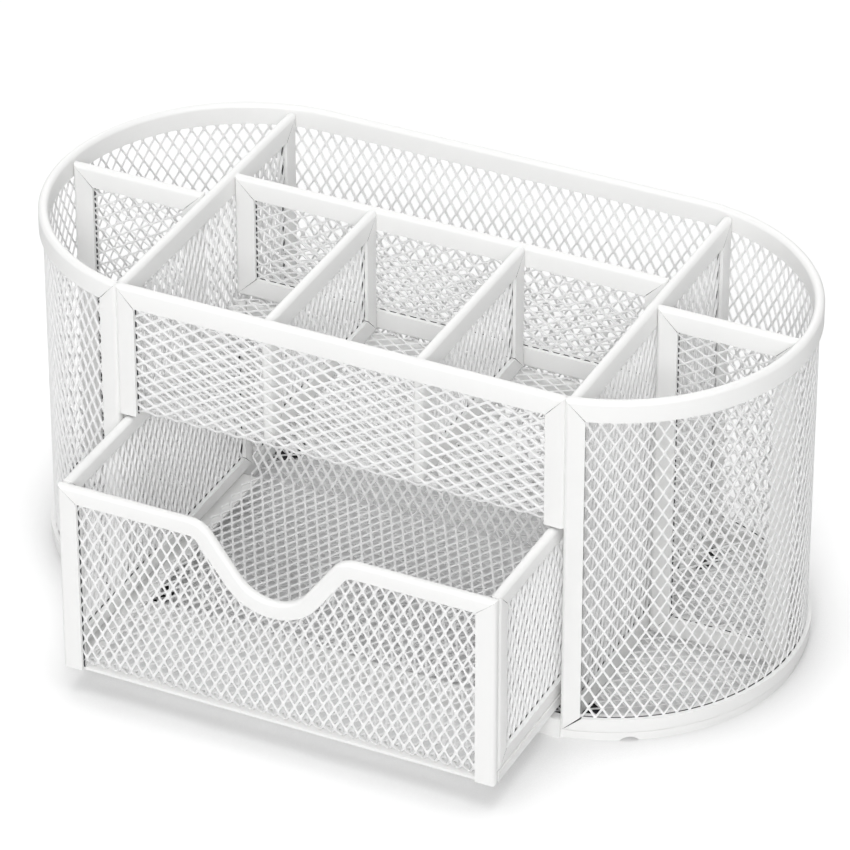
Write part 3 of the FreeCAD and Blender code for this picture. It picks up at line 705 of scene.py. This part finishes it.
# world: a dome that is brighter in front, and a plain white backdrop for the camera, gloss and glass
DOME_FRONT = 0.46
DOME_BACK = 0.36
WHITE = (1, 1, 1, 1)
world = bpy.data.worlds.new("Studio")
bpy.context.scene.world = world
world.use_nodes = True
tree = world.node_tree
dome = tree.nodes["Background"]
dome.inputs["Color"].default_value = WHITE
heading = add_node(tree, "ShaderNodeTexCoord")
split = add_node(tree, "ShaderNodeSeparateXYZ")
fade = add_node(tree, "ShaderNodeMapRange",
                {"From Min": -0.5, "From Max": 0.5, "To Min": DOME_FRONT, "To Max": DOME_BACK})
backdrop = add_node(tree, "ShaderNodeBackground", {"Color": WHITE, "Strength": 1.0})
rays = add_node(tree, "ShaderNodeLightPath")
mirrored = add_node(tree, "ShaderNodeMath")
mirrored.operation = "MAXIMUM"
shown = add_node(tree, "ShaderNodeMath")
shown.operation = "MAXIMUM"
choose = add_node(tree, "ShaderNodeMixShader")
tree.links.new(heading.outputs["Generated"], split.inputs["Vector"])
tree.links.new(split.outputs["Y"], fade.inputs["Value"])
tree.links.new(fade.outputs["Result"], dome.inputs["Strength"])
tree.links.new(rays.outputs["Is Glossy Ray"], mirrored.inputs[0])
tree.links.new(rays.outputs["Is Transmission Ray"], mirrored.inputs[1])
tree.links.new(rays.outputs["Is Camera Ray"], shown.inputs[0])
tree.links.new(mirrored.outputs["Value"], shown.inputs[1])
tree.links.new(shown.outputs["Value"], choose.inputs["Fac"])
tree.links.new(dome.outputs["Background"], choose.inputs[1])
tree.links.new(backdrop.outputs["Background"], choose.inputs[2])
tree.links.new(choose.outputs["Shader"], tree.nodes["World Output"].inputs["Surface"])

LIGHT_AIM = Vector((0, 0, 0.05))


def softbox(name, place, size, power):
    """Square studio light aimed at the object's lower middle."""
    light = bpy.data.lights.new(name, "AREA")
    light.shape = "SQUARE"
    light.size = size
    light.energy = power
    lamp = bpy.data.objects.new(name, light)
    lamp.location = place
    lamp.rotation_euler = (LIGHT_AIM - Vector(place)).to_track_quat("-Z", "Y").to_euler()
    bpy.context.scene.collection.objects.link(lamp)


softbox("KeyLight", (0.9, -2.25, 1.45), 1.0, 35)
softbox("LeftLight", (-1.6, -0.9, 0.7), 1.0, 2.2)
softbox("TopLight", (0.1, -0.25, 1.7), 1.0, 8.2)
softbox("BackLight", (-0.9, 1.8, 1.2), 1.2, 7.5)

# camera fitted to the photo, its numbers in the photo's pixels
PHOTO_WIDTH = 850.0
FOCAL_LENGTH = 5605.47
CENTRE_SHIFT = (-0.316, -0.372)
SENSOR = 36.0
camera_data = bpy.data.cameras.new("Camera")
camera_data.sensor_width = SENSOR
camera_data.lens = FOCAL_LENGTH * SENSOR / PHOTO_WIDTH
camera_data.clip_start = 0.1
camera_data.clip_end = 20.0
camera_data.shift_x = CENTRE_SHIFT[0] / PHOTO_WIDTH
camera_data.shift_y = CENTRE_SHIFT[1] / PHOTO_WIDTH
camera = bpy.data.objects.new("Camera", camera_data)
bpy.context.scene.collection.objects.link(camera)
right = Vector((0.901388, 0.433013, -0.000030))
up = Vector((-0.233027, 0.485142, 0.842814))
back = Vector((0.364964, -0.759695, 0.538205))
pose = Matrix((right, up, back)).transposed().to_4x4()
pose.translation = Vector((0.554637, -1.155077, 0.867612))
camera.matrix_world = pose
bpy.context.scene.camera = camera

view = bpy.context.scene.view_settings
view.view_transform = "Standard"
view.look = "None"
view.exposure = 0.0
view.gamma = 1.0
